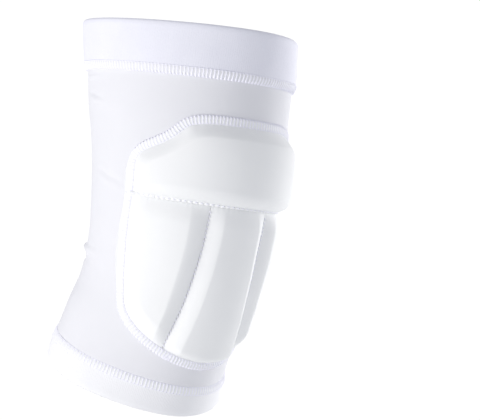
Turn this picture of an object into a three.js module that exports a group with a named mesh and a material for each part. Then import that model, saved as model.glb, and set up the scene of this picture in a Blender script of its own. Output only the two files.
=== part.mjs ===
// A volleyball knee pad: a knitted leg sleeve bent at the knee, an elastic band round each
// opening, and four foam chambers sewn on the front. It keeps the form that it has on a leg.
//
// Millimetres. Z runs up the thigh, the front of the knee faces -Y, and the origin lies on the
// leg's axis, level with the cross seam between the upper cushion and the three lower ones.

import * as THREE from 'three';

// Driving dimensions of the sleeve
const sleeveHeight = 231; // middle of the calf opening to middle of the thigh opening
const kneeWidth = 115; // across the sleeve at the knee
const kneeDepth = 120; // front to back of the sleeve at the knee
const knitWall = 1.8;
const topBandHeight = 32;
const bottomBandHeight = 17.5;
const bandProud = 1.2; // how far a band stands out of the knit beside it
const drawnIn = 0.9; // how far the thigh band draws in the knit under it
const drawnReach = 28; // how far down the sleeve that reaches

// Driving dimensions of the cushions
const upperThickness = 9.6;
const centreTopThickness = 4.8; // at the cross seam
const centreFootThickness = 7.4; // at the bottom seam
const sideTopThickness = 6.2;
const sideFootThickness = 7.2;
const hemThickness = 1.0; // the cover where it is stitched down flat

// Widths over which a cushion rises from its seams
const padSeamWidth = 5.8; // a cushion starts to rise at this seam's inner edge
const upperTopRoll = 9;
const upperSideRoll = 12;
const upperCrossRoll = 8;
const lowerCrossRoll = 12;
const sideRoll = 8;
const bottomRoll = 6;
const centreTopBevel = 7.5; // from a groove to the centre cushion's crest, at the cross seam
const centreFootBevel = 9.5;
const sideTopBevel = 14; // from a groove to a side cushion's crest, at the cross seam
const sideFootBevel = 9;
const roundCrest = 1.4; // 1 is a sharp crest
const tightCrest = 1.2;

// Spaces between pieces that are sewn together
const seamGap = 0.3;
const clearance = 0.3; // under a cushion

// Places on the sleeve: "at" is a share of the way from the calf opening to the thigh opening,
// "angle" is in degrees round the leg from the front, positive towards +X
const crossSeam = 0.531;

// Number of facets
const roundColumns = 44;
const sleeveRows = 20;
const bandRows = 3;
const upperColumns = 26;
const upperRows = 14;
const centreColumns = 12;
const sideColumns = 14;
const lowerRows = 16;
const nearestRows = 0.004; // rows of facets closer than this share of the sleeve become one

// The sleeve's cross sections, from the calf to the thigh. rise is the height above the knee as
// a share of sleeveHeight; setBack is how far the axis lies behind the knee, front and rear the
// reach to the front and the back, as shares of kneeDepth; lean is how many degrees the front
// edge is tipped down; half is the half width as a share of kneeWidth; egg is how much wider the
// back half is than the front half.
const sectionColumns = ['at', 'rise', 'setBack', 'lean', 'half', 'front', 'rear', 'egg'];
const sections = table(sectionColumns, [
  [0.00, -0.519, 0.125, 22.0, 0.517, 0.333, 0.504, 0.25],
  [0.07, -0.448, 0.117, 20.0, 0.504, 0.379, 0.483, 0.22],
  [0.16, -0.338, 0.087, 16.0, 0.482, 0.438, 0.464, 0.15],
  [0.28, -0.237, 0.052, 11.4, 0.459, 0.482, 0.451, 0.07],
  [0.40, -0.123, 0.016, 7.1, 0.473, 0.505, 0.453, 0.03],
  [0.52, 0.003, 0.000, 3.4, 0.500, 0.529, 0.471, 0.02],
  [0.64, 0.131, 0.001, 1.2, 0.526, 0.548, 0.496, 0.02],
  [0.76, 0.250, 0.010, 0.4, 0.555, 0.563, 0.529, 0.06],
  [0.88, 0.365, 0.019, 0.2, 0.579, 0.579, 0.561, 0.09],
  [1.00, 0.476, 0.026, -0.4, 0.584, 0.589, 0.591, 0.16],
]);

// Folds and hollows in the knit. span is the half length in degrees round the leg, width the
// half width as a share of sleeveHeight, height is outward as a multiple of knitWall.
const folds = table(['at', 'angle', 'span', 'width', 'height'], [
  [0.352, 180, 96, 0.016, 2.1], // the roll behind the knee
  [0.322, 180, 96, 0.020, -1.1], // the crease under that roll
]);

// The cushions' outline: the seam over the top, the seam under the bottom, the seams up the
// sides, and the two grooves. Both sides of the leg are alike.
const topSeam = table(['angle', 'at'], [
  [0, 0.738], [22, 0.738], [31, 0.735], [40.5, 0.722], [50, 0.688],
  [61.5, 0.660], [69, 0.641], [73, 0.617], [75, 0.585],
]);
const bottomSeam = table(['angle', 'at'], [
  [0, 0.135], [18, 0.138], [34, 0.150], [50, 0.180], [58, 0.198], [66, 0.222],
]);
const sideSeam = table(['at', 'angle'], [
  [0.222, 66], [0.258, 70.5], [0.302, 74], [0.408, 77.5], [0.531, 75], [0.585, 75],
]);
const groove = table(['at', 'angle'], [
  [0.135, 32.5], [0.170, 31.5], [0.310, 27], [0.432, 23.3], [0.531, 22],
]);

// The middle of the stitched seam round the pad, from the top down one side to the bottom
const padSeam = table(['at', 'angle'], [
  [0.738, 0], [0.738, 22], [0.735, 32], [0.727, 39.4], [0.718, 42.5], [0.706, 44.6],
  [0.684, 49.8], [0.669, 55.2], [0.657, 60.9], [0.643, 66.5], [0.630, 69.5],
  [0.612, 71.3], [0.585, 71.9], [0.540, 71.8], [0.486, 73.3], [0.412, 74.0],
  [0.307, 71.4], [0.250, 68.4], [0.219, 64.8], [0.195, 59.5], [0.179, 54.1],
  [0.168, 49.1], [0.154, 40.3], [0.139, 24.3], [0.132, 8], [0.131, 0],
]);
const seamSteps = 8; // points measured between two rows of that table
const topCorner = 36; // the angle where the upper cushion's side begins

// Colours of the knit, the elastic and the cushion covers
const knitColour = 0xf3f2f7;
const elasticColour = 0xf5f4fa;
const coverColour = 0xf7f7f9;

// A table's rows, as objects with named columns
function table(names, rows) {
  return rows.map((row) => Object.fromEntries(names.map((name, i) => [name, row[i]])));
}

// The slope of one column at one row, from the rows on each side of it
function slopeAt(rows, key, column, i) {
  const rate = (j) => (rows[j + 1][column] - rows[j][column]) / (rows[j + 1][key] - rows[j][key]);
  if (i === 0) return rate(0);
  if (i === rows.length - 1) return rate(i - 1);
  const before = rows[i][key] - rows[i - 1][key];
  const after = rows[i + 1][key] - rows[i][key];
  return (rate(i - 1) * after + rate(i) * before) / (before + after);
}

// A smooth cubic through one column of a table
function along(rows, key, column, x) {
  const inside = rows.slice(1, -1).filter((row) => row[key] <= x).length;
  const low = rows[inside];
  const high = rows[inside + 1];
  const step = high[key] - low[key];
  const t = (x - low[key]) / step;
  const rise = high[column] - low[column];
  const startSlope = slopeAt(rows, key, column, inside) * step;
  const endSlope = slopeAt(rows, key, column, inside + 1) * step;
  const bend = t * (1 - t) * ((1 - t) * (startSlope - rise) - t * (endSlope - rise));
  return low[column] + rise * t + bend;
}

const halfGap = seamGap / 2 / sleeveHeight;
const bottomBandEdge = bottomBandHeight / sleeveHeight;
const topBandEdge = 1 - topBandHeight / sleeveHeight;
const radians = THREE.MathUtils.degToRad;

// A point of the sleeve's outer surface, before its folds
function surfacePoint(at, angle) {
  const section = (column) => along(sections, 'at', column, at);
  const turn = radians(angle);
  const lean = radians(section('lean'));
  const forward = Math.cos(turn);
  const reach = kneeDepth * forward * (forward > 0 ? section('front') : section('rear'));
  const x = kneeWidth * section('half') * Math.sin(turn) * (1 - section('egg') * forward);
  const y = kneeDepth * section('setBack') - Math.cos(lean) * reach;
  const z = sleeveHeight * section('rise') - Math.sin(lean) * reach;
  return new THREE.Vector3(x, y, z);
}

// The same point moved straight out of the surface
function lifted(at, angle, lift) {
  const step = 0.001; // a short way up the sleeve, beside one degree round it
  const round = surfacePoint(at, angle + 1).sub(surfacePoint(at, angle - 1));
  const up = surfacePoint(at + step, angle).sub(surfacePoint(at - step, angle));
  const outward = round.cross(up).normalize();
  return surfacePoint(at, angle).addScaledVector(outward, lift);
}

// Length of one degree round the sleeve
function degreeLength(at, angle) {
  return surfacePoint(at, angle + 0.5).distanceTo(surfacePoint(at, angle - 0.5));
}

// 1 on the middle of a fold, falling smoothly to 0 at its edge
function hump(distance) {
  return distance < 1 ? Math.cos(0.5 * Math.PI * distance) ** 2 : 0;
}

// How far the knit lies out of the smooth surface at one place
function foldLift(at, angle) {
  const lifts = folds.map((fold) => {
    const turn = Math.abs(((angle - fold.angle + 540) % 360) - 180) / fold.span;
    const rise = Math.abs(at - fold.at) / fold.width;
    return knitWall * fold.height * hump(turn) * hump(rise);
  });
  const underBand = drawnIn * hump(upDistance(at, topBandEdge) / drawnReach);
  return lifts.reduce((sum, lift) => sum + lift, -underBand);
}

// Evenly spaced values, both ends included
function even(start, end, steps) {
  return Array.from({ length: steps + 1 }, (_, i) => start + ((end - start) * i) / steps);
}

// Values from 0 to 1 that lie closer together towards both ends
function crowded(steps) {
  return even(0, Math.PI, steps).map((x) => (1 - Math.cos(x)) / 2);
}

// A closed wall between two grids of points with the same rows and columns. The rows run up and
// the columns run round; where the columns go all the way round, the last one meets the first.
function wall(outer, inner, goesRound) {
  const rows = outer.length;
  const columns = outer[0].length;
  const out = (j, i) => j * columns + (i % columns);
  const back = (j, i) => rows * columns + out(j, i);
  const faces = [];
  const quad = (a, b, c, d) => faces.push(a, b, c, a, c, d);
  const spans = goesRound ? columns : columns - 1;
  for (let i = 0; i < spans; i += 1) {
    for (let j = 0; j < rows - 1; j += 1) {
      quad(out(j, i), out(j, i + 1), out(j + 1, i + 1), out(j + 1, i));
      quad(back(j, i), back(j + 1, i), back(j + 1, i + 1), back(j, i + 1));
    }
    quad(out(0, i), back(0, i), back(0, i + 1), out(0, i + 1));
    quad(out(rows - 1, i), out(rows - 1, i + 1), back(rows - 1, i + 1), back(rows - 1, i));
  }
  for (let j = 0; !goesRound && j < rows - 1; j += 1) {
    quad(out(j, 0), out(j + 1, 0), back(j + 1, 0), back(j, 0));
    quad(out(j, spans), back(j, spans), back(j + 1, spans), out(j + 1, spans));
  }
  const geometry = new THREE.BufferGeometry();
  const points = [...outer.flat(), ...inner.flat()];
  geometry.setAttribute('position', new THREE.Float32BufferAttribute(points.flatMap((p) => p.toArray()), 3));
  geometry.setIndex(faces);
  geometry.computeVertexNormals();
  return geometry;
}

function piece(name, geometry, colour, roughness) {
  const mesh = new THREE.Mesh(geometry, new THREE.MeshStandardMaterial({ color: colour, roughness, metalness: 0 }));
  mesh.name = name;
  return mesh;
}

// A tube wall round the leg between two lifts that follow the place
function ring(stations, outerLift, innerLift) {
  const angles = even(-180, 180, roundColumns).slice(0, -1);
  const grid = (lift) => stations.map((at) => angles.map((angle) => lifted(at, angle, lift(at, angle))));
  return wall(grid(outerLift), grid(innerLift), true);
}

// The knitted sleeve, with more rows of facets where the narrow folds are
function sleeve() {
  const first = bottomBandEdge + halfGap;
  const last = topBandEdge - halfGap;
  const creases = folds.flatMap((fold) => [fold.at, fold.at + fold.width / 2]);
  const plain = even(first, last, sleeveRows);
  const apart = (at) => creases.every((crease) => Math.abs(crease - at) > nearestRows);
  const stations = [...plain.filter(apart), ...creases].sort((a, b) => a - b);
  const inner = (at, angle) => foldLift(at, angle) - knitWall;
  return piece('sleeve', ring(stations, foldLift, inner), knitColour, 0.9);
}

// An elastic band, flush with the knit on the inside and proud of it outside
function band(name, start, end) {
  const geometry = ring(even(start, end, bandRows), () => bandProud, () => -knitWall);
  return piece(name, geometry, elasticColour, 0.85);
}

// How high a cushion stands at a distance from its seam: a round shoulder
function shoulder(distance, roll) {
  const t = Math.min(distance / roll, 1);
  return 1 - (1 - t) ** 2;
}

// The same, rising steeply from the seam
function steepShoulder(distance, roll) {
  const t = Math.min(distance / roll, 1);
  return Math.sqrt(1 - (1 - t) ** 2);
}

// The same, as a nearly straight slope with a soft crest
function slope(distance, width, crest) {
  const t = Math.min(distance / (width * crest), 1);
  return 1 - (1 - t) ** crest;
}

// A foam chamber on the patch of the sleeve that place(s, w) gives, s across and w up
function cushion(name, across, up, place, height) {
  const spots = crowded(up).map((w) => crowded(across).map((s) => place(s, w)));
  const grid = (lift) => spots.map((row) => row.map((spot) => lifted(spot.at, spot.angle, lift(spot))));
  const top = (spot) => clearance + hemThickness + height(spot);
  const geometry = wall(grid(top), grid(() => clearance), false);
  return piece(name, geometry, coverColour, 0.85);
}

// Distance along the sleeve and round it, in millimetres
const upDistance = (from, to) => Math.abs(to - from) * sleeveHeight;
const roundDistance = (spot, angle) => Math.abs(spot.angle - angle) * degreeLength(spot.at, spot.angle);

const topOf = (angle) => along(topSeam, 'angle', 'at', Math.abs(angle));
const bottomOf = (angle) => along(bottomSeam, 'angle', 'at', Math.min(Math.abs(angle), bottomSeam.at(-1).angle));
const sideOf = (at) => along(sideSeam, 'at', 'angle', Math.max(at, sideSeam[0].at));
const grooveOf = (at) => along(groove, 'at', 'angle', at);

const middle = (from, to, share) => from + (to - from) * share;

// Points along the middle of the pad seam, on both sides of the leg
const seamPoints = padSeam.slice(1).flatMap((row, i) => even(0, 1, seamSteps).flatMap((share) => {
  const at = middle(padSeam[i].at, row.at, share);
  const angle = middle(padSeam[i].angle, row.angle, share);
  return [surfacePoint(at, angle), surfacePoint(at, -angle)];
}));

// How far a place lies inside the pad seam's inner edge
function insideSeam(spot) {
  const place = surfacePoint(spot.at, spot.angle);
  const nearest = Math.min(...seamPoints.map((point) => point.distanceTo(place)));
  return Math.max(nearest - padSeamWidth / 2, 0);
}

// The upper cushion: one wide bulge that rolls under to the cross seam
function upperCushion() {
  const edge = sideSeam.at(-1).angle;
  const start = crossSeam + halfGap;
  const place = (s, w) => {
    const angle = (2 * s - 1) * edge;
    return { angle, at: middle(start, topOf(angle), w) };
  };
  const height = (spot) => {
    const sideShare = THREE.MathUtils.clamp((Math.abs(spot.angle) - topCorner) / (edge - topCorner), 0, 1);
    const fromSeam = slope(insideSeam(spot), middle(upperTopRoll, upperSideRoll, sideShare), roundCrest);
    const fromCross = steepShoulder(upDistance(spot.at, start), upperCrossRoll);
    return (upperThickness - hemThickness) * fromSeam * fromCross;
  };
  return cushion('upper_cushion', upperColumns, upperRows, place, height);
}

// Where a lower cushion's top and groove edges lie, clear of their neighbours
const lowerEnd = crossSeam - halfGap;
const grooveGap = (at) => seamGap / 2 / degreeLength(at, grooveOf(at));

// How full a lower cushion is at its cross seam and between there and its foot
function lowerHeight(share, spot, topThickness, footThickness) {
  const fromCross = shoulder(upDistance(spot.at, lowerEnd), lowerCrossRoll);
  return (middle(footThickness, topThickness, share) - hemThickness) * fromCross;
}

// The share of the way up a lower cushion
function upShare(spot) {
  const foot = bottomOf(spot.angle);
  return THREE.MathUtils.clamp((spot.at - foot) / (lowerEnd - foot), 0, 1);
}

// The centre cushion: a straight bar between the grooves, with sloped sides
function centreCushion() {
  const edge = (at) => grooveOf(at) - grooveGap(at);
  const place = (s, w) => {
    const start = bottomOf((2 * s - 1) * edge(groove[0].at));
    const at = middle(start, lowerEnd, w);
    return { at, angle: (2 * s - 1) * edge(at) };
  };
  const height = (spot) => {
    const share = upShare(spot);
    const fromGroove = (edge(spot.at) - Math.abs(spot.angle)) * degreeLength(spot.at, spot.angle);
    const bevel = slope(Math.max(fromGroove, 0), middle(centreFootBevel, centreTopBevel, share), tightCrest);
    const fromSeam = steepShoulder(insideSeam(spot), bottomRoll);
    return lowerHeight(share, spot, centreTopThickness, centreFootThickness) * bevel * fromSeam;
  };
  return cushion('centre_cushion', centreColumns, lowerRows, place, height);
}

// A place on the right side cushion, s from the groove to the side seam and w up
function sidePlace(s, w) {
  const angleAt = (at) => middle(grooveOf(at) + grooveGap(at), sideOf(at), s);
  const passes = 12; // enough to close in on the bottom seam
  let start = bottomSeam.at(-1).at;
  for (let pass = 0; pass < passes; pass += 1) start = bottomOf(angleAt(start));
  const at = middle(start, lowerEnd, w);
  return { at, angle: angleAt(at) };
}

// A side cushion: turned is 1 on the right and -1 on the left
function sideCushion(name, turned) {
  const place = (s, w) => {
    const spot = sidePlace(turned > 0 ? s : 1 - s, w);
    return { at: spot.at, angle: turned * spot.angle };
  };
  const height = (spot) => {
    const share = upShare(spot);
    const fromGroove = roundDistance(spot, turned * (grooveOf(spot.at) + grooveGap(spot.at)));
    const bevel = slope(fromGroove, middle(sideFootBevel, sideTopBevel, share), tightCrest);
    const fromSeam = slope(insideSeam(spot), sideRoll, roundCrest);
    return lowerHeight(share, spot, sideTopThickness, sideFootThickness) * bevel * fromSeam;
  };
  return cushion(name, sideColumns, lowerRows, place, height);
}

const kneePad = new THREE.Group();
kneePad.add(sleeve());
kneePad.add(band('top_band', topBandEdge + halfGap, 1));
kneePad.add(band('bottom_band', 0, bottomBandEdge - halfGap));
kneePad.add(upperCushion());
kneePad.add(centreCushion());
kneePad.add(sideCushion('left_cushion', -1));
kneePad.add(sideCushion('right_cushion', 1));

export default kneePad;
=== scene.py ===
"""A volleyball knee pad: a white knitted leg sleeve with elastic bands and a sewn foam pad.

Metres. Z runs up the thigh, the front of the knee faces -Y, and the origin lies on the leg's
axis, level with the cross seam. A place on the sleeve is "at", the share of the way from the
calf opening to the thigh opening, and "angle", in degrees round the leg from the front.
"""

import bpy
import numpy as np
from mathutils import Matrix


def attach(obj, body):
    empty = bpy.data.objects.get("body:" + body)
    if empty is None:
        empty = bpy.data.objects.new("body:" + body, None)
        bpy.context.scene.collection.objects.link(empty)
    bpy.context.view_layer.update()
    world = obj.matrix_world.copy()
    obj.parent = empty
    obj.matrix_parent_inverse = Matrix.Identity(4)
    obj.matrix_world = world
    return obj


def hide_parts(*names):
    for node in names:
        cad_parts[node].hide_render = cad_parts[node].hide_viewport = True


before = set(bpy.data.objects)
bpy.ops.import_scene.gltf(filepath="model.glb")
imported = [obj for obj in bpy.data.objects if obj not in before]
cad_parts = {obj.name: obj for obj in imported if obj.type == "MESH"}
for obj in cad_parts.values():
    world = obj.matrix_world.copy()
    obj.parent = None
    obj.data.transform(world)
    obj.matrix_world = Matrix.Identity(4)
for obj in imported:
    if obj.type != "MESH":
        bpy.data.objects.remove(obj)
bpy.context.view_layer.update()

MM = 0.001

# Sizes of the sleeve
SLEEVE_HEIGHT = 231 * MM
KNEE_WIDTH = 115 * MM
KNEE_DEPTH = 120 * MM
KNIT_WALL = 1.8 * MM
KNIT_UNEVEN = 0.12 * MM
TOP_BAND_HEIGHT = 32 * MM
BOTTOM_BAND_HEIGHT = 17.5 * MM
BAND_PROUD = 1.2 * MM
BAND_UNEVEN = 0.10 * MM
DRAWN_IN = 0.9 * MM
DRAWN_REACH = 28 * MM
RIM_ROLL = 4.5 * MM
RIM_DRAW = 1.0 * MM
CLOTH_DEGREE = 1.0 * MM  # cloth in one degree round the leg

# Sizes of the cushions
UPPER_THICKNESS = 9.6 * MM
CENTRE_TOP_THICKNESS = 4.8 * MM
CENTRE_FOOT_THICKNESS = 7.4 * MM
SIDE_TOP_THICKNESS = 6.2 * MM
SIDE_FOOT_THICKNESS = 7.2 * MM
HEM_THICKNESS = 1.0 * MM
CLEARANCE = 0.3 * MM
SEAM_GAP = 0.3 * MM
UPPER_TOP_ROLL = 5.5 * MM
UPPER_SIDE_ROLL = 6 * MM
TURN_START, TURN_SPAN = 36, 28  # degrees from the front, where the top roll becomes the side one
UPPER_CROWN = 26 * MM
CROWN_EDGE = 0.66  # the crown's height beside the seam, as a share of its full height
UPPER_CROSS_ROLL = 8 * MM
LOWER_CROSS_ROLL = 12 * MM
SIDE_ROLL = 8 * MM
BOTTOM_ROLL = 6 * MM
FOOT_VALLEY = 0.9 * MM
CENTRE_TOP_BEVEL = 7.5 * MM
CENTRE_FOOT_BEVEL = 8 * MM
SIDE_TOP_BEVEL = 8.8 * MM
SIDE_FOOT_BEVEL = 5.8 * MM
SEAM_SOFTNESS = 1.5
SIDE_BEVEL_SOFTNESS = 1.3
CENTRE_BEVEL_SOFTNESS = 1.2
UPPER_PUCKER = 0.35 * MM
LOWER_PUCKER = 0.25 * MM
UPPER_PUCKER_REACH = 2.5 * MM
CROSS_PUCKER_REACH = 2 * MM
GROOVE_PUCKER_REACH = 1.5 * MM
PUCKER_FADE = 6 * MM
FOAM_UNEVEN = 0.08 * MM

# Sizes of the seams. A slant is how far along the seam a rung's end lies from its middle.
PATH_STEP = 0.4 * MM
LINE_STEP = 1.2 * MM
SMOOTHING_PASSES = 120
RIBBON_THICKNESS = 1.1 * MM
SEAM_WIDTH = 5.8 * MM
SEAM_PITCH = 2.15 * MM
SEAM_SLANT = -0.55 * MM
RUNG_RADIUS = 0.95 * MM
RUNG_SUNK = 0.70  # how deep a rung's middle line lies in the ribbon, as a share of its radius
RUNG_BEND = 0.28 * MM
RUNG_HOLD = 0.08 * MM
RUNG_HOLD_WIDTH = 0.16
RUNG_REACH = 0.92  # the share of the profile that a rung follows
ROW_RADIUS = 0.27 * MM
ROW_PLACE = 0.82  # a needle row's distance from the middle, as a share of the half width
ROW_LIFT = 0.04 * MM
ROW_WAVE = 0.14 * MM
FOOT_TOP = 0.3
FOOT_SPAN = 27  # degrees on either side of the front
FOOT_PITCH = 2.05 * MM
FOOT_SLANT = -0.6 * MM
FOOT_RADIUS = 0.66 * MM
FOOT_SUNK = 0.35
KNOT_RADIUS = 1.1 * MM
KNOT_SLANT = 0.5 * MM
KNOT_OUT, KNOT_IN = 0.4 * MM, 1.3 * MM
BAND_SEAM_WIDTH = 6.0 * MM
TOP_BAND_PITCH = 2.3 * MM
TOP_BAND_SLANT = -0.5 * MM
BOTTOM_BAND_PITCH = 2.3 * MM
BOTTOM_BAND_SLANT = -0.4 * MM
BOTTOM_RUNG_RADIUS = 0.85 * MM

# Sizes of the stitched lines
CROSS_SPAN = 71.5
CROSS_PITCH = 3.3 * MM
CROSS_STITCH_LENGTH = 2.0 * MM
CROSS_STITCH_RADIUS = 0.34 * MM
CROSS_STITCH_LIFT = 1.5 * MM
WELT_RADIUS = 1.0 * MM
WELT_LIFT = 0.8 * MM
WELT_PINCH = 0.35
WELT_DIP = 0.25
GROOVE_PITCH = 2.6 * MM
GROOVE_STITCH_LENGTH = 1.5 * MM
GROOVE_STITCH_RADIUS = 0.36 * MM
GROOVE_STITCH_LIFT = 0.3 * MM
GROOVE_STITCH_ACROSS = 0.9 * MM
GROOVE_FOOT_END = 0.01
GROOVE_TOP_END = 0.008

# Places up the sleeve, as shares of the way
CROSS_SEAM = 0.531
HALF_GAP = SEAM_GAP / 2 / SLEEVE_HEIGHT
UPPER_START = CROSS_SEAM + HALF_GAP
LOWER_END = CROSS_SEAM - HALF_GAP
BOTTOM_BAND_EDGE = BOTTOM_BAND_HEIGHT / SLEEVE_HEIGHT
TOP_BAND_EDGE = 1 - TOP_BAND_HEIGHT / SLEEVE_HEIGHT

# Finishes: a darker and a lighter colour each, the loops' sizes and the bumps' heights
KNIT_COLOURS = (0.79, 0.79, 0.83), (0.815, 0.815, 0.85)
TOP_ELASTIC_COLOURS = (0.775, 0.775, 0.865), (0.875, 0.875, 0.945)
BOTTOM_ELASTIC_COLOURS = (0.84, 0.84, 0.87), (0.895, 0.895, 0.92)
COVER_COLOURS = (0.89, 0.895, 0.905), (0.915, 0.92, 0.925)
THREAD_COLOURS = (0.87, 0.865, 0.96), (0.92, 0.915, 0.99)
KNIT_WALE, KNIT_COURSE = 0.96 * MM, 0.75 * MM
COVER_WALE, COVER_COURSE = 0.8 * MM, 0.65 * MM
ELASTIC_RIB, ELASTIC_PICK = 1.25 * MM, 0.8 * MM
KNIT_BUMP = 0.09 * MM
ELASTIC_BUMP = 0.18 * MM
COVER_BUMP = 0.07 * MM
THREAD_BUMP = 0.10 * MM

# The photograph's floor and light
SEEN_WHITE = 1.05
FLOOR_LIGHT = 0.75
FLOOR_COLOUR = (0.985, 1.0, 1.035)
FLOOR_HALF = 15.0
FLOOR_LEVEL = -2.5
SIDE_LIGHT = 0.77
TOP_LIGHT = 0.45
SKY_COLOUR = (0.98, 1.0, 1.055, 1)
SOFTBOX_WIDTH, SOFTBOX_HEIGHT = 0.7, 1.2
KEY_PLACE = (-1.15, 0.02, -0.26)
KEY_POWER = 8.35
KEY_COLOUR = (1.0, 0.98, 0.95)
RIM_PLACE = (1.2, 0.03, 0.05)
RIM_POWER = 11.4
RIM_COLOUR = (1.0, 0.985, 0.96)

# The camera: its direction and distance from a point near the front of the knee, its roll
CAMERA_AZIMUTH = -38.7165
CAMERA_ELEVATION = -1.3245
CAMERA_ROLL = 6.5137
CAMERA_DISTANCE = 1.462406
CAMERA_AIM = np.array([-0.020985, -0.08777, -0.001802])
CAMERA_LENS = 180.69
CAMERA_SENSOR = 36


def table(names, rows):
    """A table as one array for each named column."""
    return dict(zip(names.split(), np.array(rows, dtype=float).T))


# The sleeve's cross sections, from the calf to the thigh. rise is the height above the knee as
# a share of SLEEVE_HEIGHT; set_back, front and rear are shares of KNEE_DEPTH, half one of
# KNEE_WIDTH; lean is in degrees; egg is how much wider the back half is than the front half.
SECTIONS = table("at rise set_back lean half front rear egg", [
    [0.00, -0.519, 0.125, 22.0, 0.517, 0.333, 0.504, 0.25],
    [0.07, -0.448, 0.117, 20.0, 0.504, 0.379, 0.483, 0.22],
    [0.16, -0.338, 0.087, 16.0, 0.482, 0.438, 0.464, 0.15],
    [0.28, -0.237, 0.052, 11.4, 0.459, 0.482, 0.451, 0.07],
    [0.40, -0.123, 0.016, 7.1, 0.473, 0.505, 0.453, 0.03],
    [0.52, 0.003, 0.000, 3.4, 0.500, 0.529, 0.471, 0.02],
    [0.64, 0.131, 0.001, 1.2, 0.526, 0.548, 0.496, 0.02],
    [0.76, 0.250, 0.010, 0.4, 0.555, 0.563, 0.529, 0.06],
    [0.88, 0.365, 0.019, 0.2, 0.579, 0.579, 0.561, 0.09],
    [1.00, 0.476, 0.026, -0.4, 0.584, 0.589, 0.591, 0.16],
])

# Folds and hollows in the knit: the middle, the half length in degrees and the half width as a
# share of SLEEVE_HEIGHT, the height as a multiple of KNIT_WALL, and how much "at" grows for
# each degree along the fold.
FOLDS = table("at angle span width height slant", [
    [0.352, 180, 96, 0.018, 2.6, 0.0],
    [0.322, 180, 96, 0.020, -1.1, 0.0],
    [0.384, 180, 70, 0.020, -0.25, 0.0],
    [0.778, -107, 15, 0.010, -0.38, -0.0008],
    [0.764, -106, 15, 0.011, 0.24, -0.0008],
    [0.826, -112, 20, 0.010, 0.30, 0.0],
    [0.567, -92, 24, 0.012, -0.26, -0.0012],
    [0.550, -92, 22, 0.012, 0.18, -0.0012],
])

# The seams round the pad and the two grooves in it
TOP_SEAM = table("angle at", [
    [0, 0.738], [22, 0.738], [31, 0.735], [40.5, 0.722], [50, 0.688],
    [61.5, 0.660], [69, 0.641], [73, 0.617], [75, 0.585],
])
BOTTOM_SEAM = table("angle at", [
    [0, 0.135], [18, 0.138], [34, 0.150], [50, 0.180], [58, 0.198], [66, 0.222],
])
SIDE_SEAM = table("at angle", [
    [0.222, 66], [0.258, 70.5], [0.302, 74], [0.408, 77.5], [0.531, 75], [0.585, 75],
])
GROOVE = table("at angle", [
    [0.135, 32.5], [0.170, 31.5], [0.310, 27], [0.432, 23.3], [0.531, 22],
])

# The middle line of the seam round the pad, from the top down the right side to the bottom
PAD_SEAM = table("at angle", [
    [0.738, 0], [0.738, 22], [0.735, 32], [0.727, 39.4], [0.718, 42.5], [0.706, 44.6],
    [0.684, 49.8], [0.669, 55.2], [0.657, 60.9], [0.643, 66.5], [0.630, 69.5],
    [0.612, 71.3], [0.585, 71.9], [0.540, 71.8], [0.486, 73.3], [0.412, 74.0],
    [0.307, 71.4], [0.250, 68.4], [0.219, 64.8], [0.195, 59.5], [0.179, 54.1],
    [0.168, 49.1], [0.154, 40.3], [0.139, 24.3], [0.132, 8], [0.131, 0],
])


def along(rows, key, column, x):
    """One column of a table at x: a cubic between neighbouring rows, whose slope at a row is
    the slopes on its two sides, each weighted by the other side's length."""
    xs, ys = rows[key], rows[column]
    step = np.diff(xs)
    rate = np.diff(ys) / step
    slope = np.empty_like(xs)
    slope[0], slope[-1] = rate[0], rate[-1]
    slope[1:-1] = (rate[:-1] * step[1:] + rate[1:] * step[:-1]) / (step[1:] + step[:-1])
    i = np.clip(np.searchsorted(xs, x) - 1, 0, len(step) - 1)
    t = (x - xs[i]) / step[i]
    rise = ys[i + 1] - ys[i]
    before, after = slope[i] * step[i] - rise, slope[i + 1] * step[i] - rise
    return ys[i] + rise * t + t * (1 - t) * ((1 - t) * before - t * after)


def surface_point(at, angle):
    """The smooth sleeve: an egg-shaped ring, tipped by its lean. x is the half width times the
    sine of the angle, y and z the reach times the cosine, turned by the lean."""
    at, angle = np.broadcast_arrays(np.asarray(at, float), np.asarray(angle, float))
    section = {name: along(SECTIONS, "at", name, at) for name in SECTIONS if name != "at"}
    turn, lean = np.radians(angle), np.radians(section["lean"])
    forward = np.cos(turn)
    reach = KNEE_DEPTH * forward * np.where(forward > 0, section["front"], section["rear"])
    x = KNEE_WIDTH * section["half"] * np.sin(turn) * (1 - section["egg"] * forward)
    y = KNEE_DEPTH * section["set_back"] - np.cos(lean) * reach
    z = SLEEVE_HEIGHT * section["rise"] - np.sin(lean) * reach
    return np.stack([x, y, z], axis=-1)


def unit(vectors):
    """The same directions with length one."""
    return vectors / np.linalg.norm(vectors, axis=-1, keepdims=True)


def surface_normal(at, angle):
    """Straight out of the sleeve: the step round the leg crossed with the step up it."""
    at, angle = np.broadcast_arrays(np.asarray(at, float), np.asarray(angle, float))
    step = 0.001
    around = surface_point(at, angle + 1) - surface_point(at, angle - 1)
    up = surface_point(at + step, angle) - surface_point(at - step, angle)
    return unit(np.cross(around, up))


def lifted(at, angle, lift):
    """The smooth sleeve moved out along its normal by lift."""
    return surface_point(at, angle) + surface_normal(at, angle) * np.asarray(lift)[..., None]


def degree_length(at, angle):
    """Length of one degree round the sleeve."""
    return np.linalg.norm(surface_point(at, angle + 0.5) - surface_point(at, angle - 0.5), axis=-1)


def hump(distance):
    """The square of a cosine: 1 in the middle, falling smoothly to 0 at distance 1."""
    return np.cos(0.5 * np.pi * np.clip(np.abs(distance), 0, 1)) ** 2


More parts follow.
